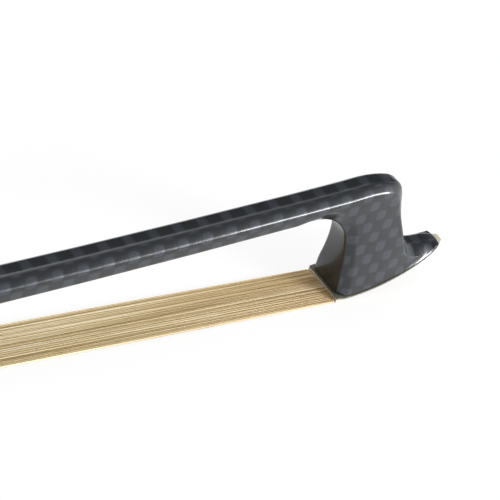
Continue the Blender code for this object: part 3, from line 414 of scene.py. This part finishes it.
# %% A toned finish
def toned_finish(name, tones, size, stretch=(1, 1, 1), relief_depth=0.0, **gloss):
    """A finish whose tones follow noise; size is the width of a patch in millimetres."""
    material, shader = new_material(name, **gloss)
    place = add_node(material, "ShaderNodeTexCoord")
    scaled = add_node(material, "ShaderNodeMapping", {"Vector": place.outputs["Object"]})
    scaled.inputs["Scale"].default_value = [s / (size * MM) for s in stretch]
    pattern = add_node(
        material, "ShaderNodeTexNoise", {"Vector": scaled.outputs["Vector"]}, scale=1.0, detail=3.0)
    tone = add_node(material, "ShaderNodeValToRGB", {"Fac": pattern.outputs[0]})
    elements = tone.color_ramp.elements
    darkest, lightest = 0.3, 0.7
    elements[0].position, elements[1].position = darkest, lightest
    elements[0].color, elements[1].color = linear(tones[0]), linear(tones[-1])
    for i, color in enumerate(tones[1:-1]):
        share = (i + 1) / (len(tones) - 1)
        elements.new(darkest + (lightest - darkest) * share).color = linear(color)
    material.node_tree.links.new(tone.outputs["Color"], shader.inputs["Base Color"])
    if relief_depth:
        bump = add_node(
            material, "ShaderNodeBump", {"Height": pattern.outputs[0]},
            strength=0.6, distance=relief_depth * MM)
        material.node_tree.links.new(bump.outputs["Normal"], shader.inputs["Normal"])
    return material


# Unbleached horsehair: each hair keeps one tone for most of its length.
horsehair = toned_finish(
    "combed horsehair", ["#8a7246", "#bea574", "#d8c69c", "#f0e6ce"], 0.22, (0.004, 1, 0.6),
    roughness=0.42)
# Polished bone: a greyed warm white with faint cloud.
bone = toned_finish(
    "polished bone", ["#a39c8e", "#beb4a4", "#cfc4b6"], 2.2, (0.6, 1, 1), 0.01, roughness=0.35)
# Ebony: near black with fine brown pores along the grain.
ebony = toned_finish(
    "polished ebony", ["#0a0908", "#15110f", "#211a15"], 0.5, (0.12, 1, 1), 0.02,
    roughness=0.38, coat=0.1, coat_roughness=0.12)
# Mother of pearl: broad clouds that turn from silver to pink, green and blue.
pearl = toned_finish(
    "mother of pearl", ["#b9c9cf", "#e4e8e2", "#d9c8cf", "#c6dbd0", "#f0ece2"], 3.0, (0.6, 1, 1), 0.01,
    roughness=0.16, coat=0.8)
# Nickel silver: yellowish white metal, buffed lengthwise.
nickel = toned_finish(
    "buffed nickel silver", ["#bbb4a5", "#c5bfb0", "#ccc6b8"], 0.4, (0.06, 1, 1), 0.004,
    roughness=0.22, metallic=1.0)
silver = toned_finish(
    "silvered strip", ["#aeb0b2", "#c9cacb", "#dcdcda"], 0.6, (0.3, 1, 1), 0.004,
    roughness=0.2, metallic=1.0)
brass = toned_finish(
    "machined brass", ["#9c7a3c", "#b8934d"], 0.4, (1, 0.2, 0.2), 0.004, roughness=0.3, metallic=1.0)
steel = toned_finish(
    "drawn steel", ["#7d8084", "#999ca0"], 0.4, (0.1, 1, 1), 0.004, roughness=0.3, metallic=1.0)
maple = toned_finish(
    "planed maple", ["#a97f4c", "#c9a06b", "#d6b27f"], 0.7, (0.12, 1, 1), 0.02, roughness=0.6)
thread = toned_finish("bound hair", ["#8f7f5c", "#cdbf9c"], 0.3, (1, 0.2, 1), 0.05, roughness=0.7)
fibre = toned_finish("grey fibre sheet", ["#54544b", "#6c6b5f"], 0.4, (1, 1, 1), 0.01, roughness=0.45)
print("finishes:", len(bpy.data.materials))

# %% [markdown]
# The last few centimetres of hair before the head are tinted darker amber. The tint is laid over the
# hair's own tones, and it fades along the bow's length.

# %% Tint the hair darker amber near the head
AMBER_TINT_LENGTH = 45 * MM
AMBER_TINT_STRENGTH = 0.24
hair_shader = horsehair.node_tree.nodes["Principled BSDF"]
hair_tone = hair_shader.inputs["Base Color"].links[0].from_socket
hair_place = add_node(horsehair, "ShaderNodeTexCoord")
hair_along = add_node(horsehair, "ShaderNodeSeparateXYZ", {"Vector": hair_place.outputs["Object"]})
amber_tint_share = add_node(
    horsehair, "ShaderNodeMapRange", {"Value": hair_along.outputs["X"]},
    from_min=PLATE_REAR_X - AMBER_TINT_LENGTH, from_max=PLATE_REAR_X, to_max=AMBER_TINT_STRENGTH)
amber_tint = add_node(
    horsehair, "ShaderNodeMix", {0: amber_tint_share.outputs["Result"], 6: hair_tone},
    data_type="RGBA", blend_type="MULTIPLY")
amber_tint.inputs[7].default_value = linear("#d3a05c")
horsehair.node_tree.links.new(amber_tint.outputs[2], hair_shader.inputs["Base Color"])
print("tinted over", round(AMBER_TINT_LENGTH / MM), "mm")

# %% [markdown]
# Leather grain is a net of small cells with creases between them. A Voronoi texture's distance to
# its edges gives the creases, at a cell size of about half a millimetre for thin calf.

# %% Grained leather
leather, leather_shader = new_material("thin black calf", roughness=0.55)
leather_place = add_node(leather, "ShaderNodeTexCoord")
CELLS_PER_METRE = 1900.0
grain = add_node(
    leather, "ShaderNodeTexVoronoi", {"Vector": leather_place.outputs["Object"]},
    feature="DISTANCE_TO_EDGE", scale=CELLS_PER_METRE)
grain_tone = add_node(leather, "ShaderNodeValToRGB", {"Fac": grain.outputs["Distance"]})
grain_tone.color_ramp.elements[0].color = linear("#0d0a09")
grain_tone.color_ramp.elements[1].color = linear("#2a221e")
grain_tone.color_ramp.elements[1].position = 0.3
leather.node_tree.links.new(grain_tone.outputs["Color"], leather_shader.inputs["Base Color"])
creases = add_node(
    leather, "ShaderNodeBump", {"Height": grain.outputs["Distance"]}, strength=0.7, distance=0.0001)
leather.node_tree.links.new(creases.outputs["Normal"], leather_shader.inputs["Normal"])
print("leather cells about", round(1000 / CELLS_PER_METRE, 2), "mm")

# %% [markdown]
# Each record slot has its finish, and every piece takes the one of its slot, new pieces and solids
# that stay alike.

# %% Dress every piece
FINISHES = {
    "moulded_carbon": carbon, "bone": bone, "grey_liner": fibre, "maple": maple, "bound_hair": thread,
    "horsehair": horsehair, "ebony": ebony, "nickel_silver": nickel, "mother_of_pearl": pearl, "brass": brass,
    "steel": steel, "black_leather": leather, "silver_lapping": silver,
}
SLOT_OF = {row["node"]: row["material_slot"] for row in frame["record"]["subparts"]}
NEW_PIECES = dict(DRESSED)
NEW_PIECES.update({"stick": STICK, "grip_winding": WINDING, "thumb_leather": LEATHER, "hair_ribbon": HAIR})
for node, solid in NODES.items():
    slot = SLOT_OF[node]
    for piece in (solid, NEW_PIECES.get(node)):
        if piece:
            piece.data.materials.clear()
            piece.data.materials.append(FINISHES[slot])
print(len(NODES), "solids and", len(NEW_PIECES), "new pieces dressed")

# %% [markdown]
# The floor is plain white. Its own shading keeps the bow's shadow, and most of what the camera sees
# of it is a steady white, as on a light table.

# %% White floor and world
bpy.ops.object.select_all(action="DESELECT")
bpy.ops.mesh.primitive_plane_add(size=12.0, location=(0, 0, -0.1 * MM))
FLOOR = bpy.context.active_object
FLOOR.name = "studio_floor"
white, white_shader = new_material("white paper", roughness=0.9)
white_shader.inputs["Base Color"].default_value = linear("#f4f4f4")
white_shader.inputs["Specular IOR Level"].default_value = 0.0
rays = add_node(white, "ShaderNodeLightPath")
seen = add_node(
    white, "ShaderNodeMath", {0: rays.outputs["Is Camera Ray"], 1: rays.outputs["Is Glossy Ray"]},
    operation="MAXIMUM")
seen = add_node(
    white, "ShaderNodeMath", {0: seen.outputs[0], 1: rays.outputs["Is Transmission Ray"]},
    operation="MAXIMUM")
steady = add_node(white, "ShaderNodeMath", {0: seen.outputs[0]}, operation="MULTIPLY")
STEADY_SHARE = 0.8
steady.inputs[1].default_value = STEADY_SHARE
glow = add_node(white, "ShaderNodeEmission", strength=1.0)
blend = add_node(
    white, "ShaderNodeMixShader",
    {0: steady.outputs[0], 1: white_shader.outputs[0], 2: glow.outputs[0]})
output = white.node_tree.nodes["Material Output"]
white.node_tree.links.new(blend.outputs[0], output.inputs["Surface"])
FLOOR.data.materials.append(white)

world = bpy.data.worlds.new("studio")
bpy.context.scene.world = world
world.use_nodes = True
sky = world.node_tree.nodes["Background"]
sky.inputs["Color"].default_value = (1.0, 1.0, 1.0, 1.0)
sky_rays = add_node(world, "ShaderNodeLightPath")
sky_seen = add_node(
    world, "ShaderNodeMath", {0: sky_rays.outputs["Is Camera Ray"], 1: sky_rays.outputs["Is Glossy Ray"]},
    operation="MAXIMUM")
sky_seen = add_node(
    world, "ShaderNodeMath", {0: sky_seen.outputs[0], 1: sky_rays.outputs["Is Transmission Ray"]},
    operation="MAXIMUM")
STUDIO_LIGHT = 0.65
strength = add_node(
    world, "ShaderNodeMapRange", {"Value": sky_seen.outputs[0]}, to_min=STUDIO_LIGHT, to_max=1.0)
world.node_tree.links.new(strength.outputs["Result"], sky.inputs["Strength"])
bpy.context.scene.view_settings.view_transform = "Standard"
print("floor", round(FLOOR.dimensions.x, 1), "m wide")

# %% [markdown]
# The picture is a close view of the head, from behind it, on the near side and above. The camera
# stands 367 mm from a point on the stick 20 mm behind the head, with a 158 mm lens on a 36 mm
# sensor, and is turned about 10 degrees on its own axis.

# %% Camera
PHI, PSI, ROLL = math.radians(46.0), math.radians(35.5024), math.radians(9.8457)
AIM_RIGHT, AIM_UP, DISTANCE = 0.5875 * MM, 1.6213 * MM, 367.2138 * MM
FOCAL_PIXELS, FRAME_PIXELS, SENSOR_MM = 2193.0512, 500, 36.0
back = Vector((-math.sin(PSI), -math.cos(PSI) * math.cos(PHI), math.cos(PSI) * math.sin(PHI)))
level = Vector((math.cos(PSI), -math.sin(PSI) * math.cos(PHI), math.sin(PSI) * math.sin(PHI)))
upright = Vector((0.0, math.sin(PHI), math.cos(PHI)))
right = level * math.cos(ROLL) - upright * math.sin(ROLL)
up = level * math.sin(ROLL) + upright * math.cos(ROLL)
target = Vector((PLATE_REAR_X - 20 * MM, 0, 10 * MM)) + right * AIM_RIGHT + up * AIM_UP
bpy.ops.object.camera_add()
CAMERA = bpy.context.active_object
CAMERA.data.sensor_width = SENSOR_MM
CAMERA.data.lens = SENSOR_MM * FOCAL_PIXELS / FRAME_PIXELS
CAMERA.data.clip_start = 0.01
turn = Matrix((right, up, back)).transposed().to_4x4()
CAMERA.matrix_world = Matrix.Translation(target + back * DISTANCE) @ turn
bpy.context.scene.camera = CAMERA
print("camera at", [round(c, 4) for c in CAMERA.matrix_world.translation])
print("lens", round(CAMERA.data.lens, 1), "mm")

# %% [markdown]
# A tall soft lamp stands in front and to the right, a little above the bow. The rounded edge
# between the stick's side and its upper bevel mirrors it as a bright line. A wide, weak lamp above
# fills the rest. Gloss shows what it mirrors, so a dark card stands where the upper bevel looks and
# a grey one where the top does, as beside any polished black thing in a studio.

# %% Lamps
HEAD_MIDDLE = Vector((PLATE_REAR_X, 0, 10 * MM))


def add_lamp(name, direction, distance, width, height, power):
    """A rectangular lamp that faces the head."""
    bpy.ops.object.light_add(type="AREA")
    lamp = bpy.context.active_object
    lamp.name = name
    lamp.data.shape = "RECTANGLE"
    lamp.data.size = width
    lamp.data.size_y = height
    lamp.data.energy = power
    toward = Vector(direction).normalized()
    lamp.matrix_world = (
        Matrix.Translation(HEAD_MIDDLE + toward * distance)
        @ toward.to_track_quat("Z", "Y").to_matrix().to_4x4())
    return lamp


def add_card(name, direction, distance, width, height, shade):
    """A card that the lens doesn't see, of one shade, for the gloss to mirror."""
    toward = Vector(direction).normalized()
    pick(FLOOR)
    bpy.ops.mesh.primitive_plane_add(size=1.0)
    card = bpy.context.active_object
    card.name = name
    card.matrix_world = (
        Matrix.Translation(HEAD_MIDDLE + toward * distance)
        @ toward.to_track_quat("Z", "Y").to_matrix().to_4x4()
        @ Matrix.Diagonal((width, height, 1.0, 1.0)))
    card.visible_camera = False
    card.visible_diffuse = False
    card.visible_shadow = False
    paper, shader = new_material(name + " paper", roughness=0.9)
    shader.inputs["Base Color"].default_value = (0.0, 0.0, 0.0, 1.0)
    shader.inputs["Specular IOR Level"].default_value = 0.0
    shader.inputs["Emission Color"].default_value = (0.9, 0.96, 1.0, 1.0)
    shader.inputs["Emission Strength"].default_value = shade
    card.data.materials.append(paper)
    return card


add_card("dark_card", (0.58, -0.60, 0.62), distance=0.5, width=0.5, height=0.36, shade=0.04)
add_card("grey_card", (0.58, 0.57, 0.59), distance=0.5, width=0.6, height=0.6, shade=0.14)
KEY = add_lamp("key_lamp", (0.58, -0.66, 0.12), distance=1.2, width=0.5, height=0.8, power=32.0)
FILL = add_lamp("fill_lamp", (0.1, 0.25, 1.0), distance=1.5, width=1.2, height=1.2, power=8.0)
print("lamps:", KEY.data.energy, "W and", FILL.data.energy, "W")
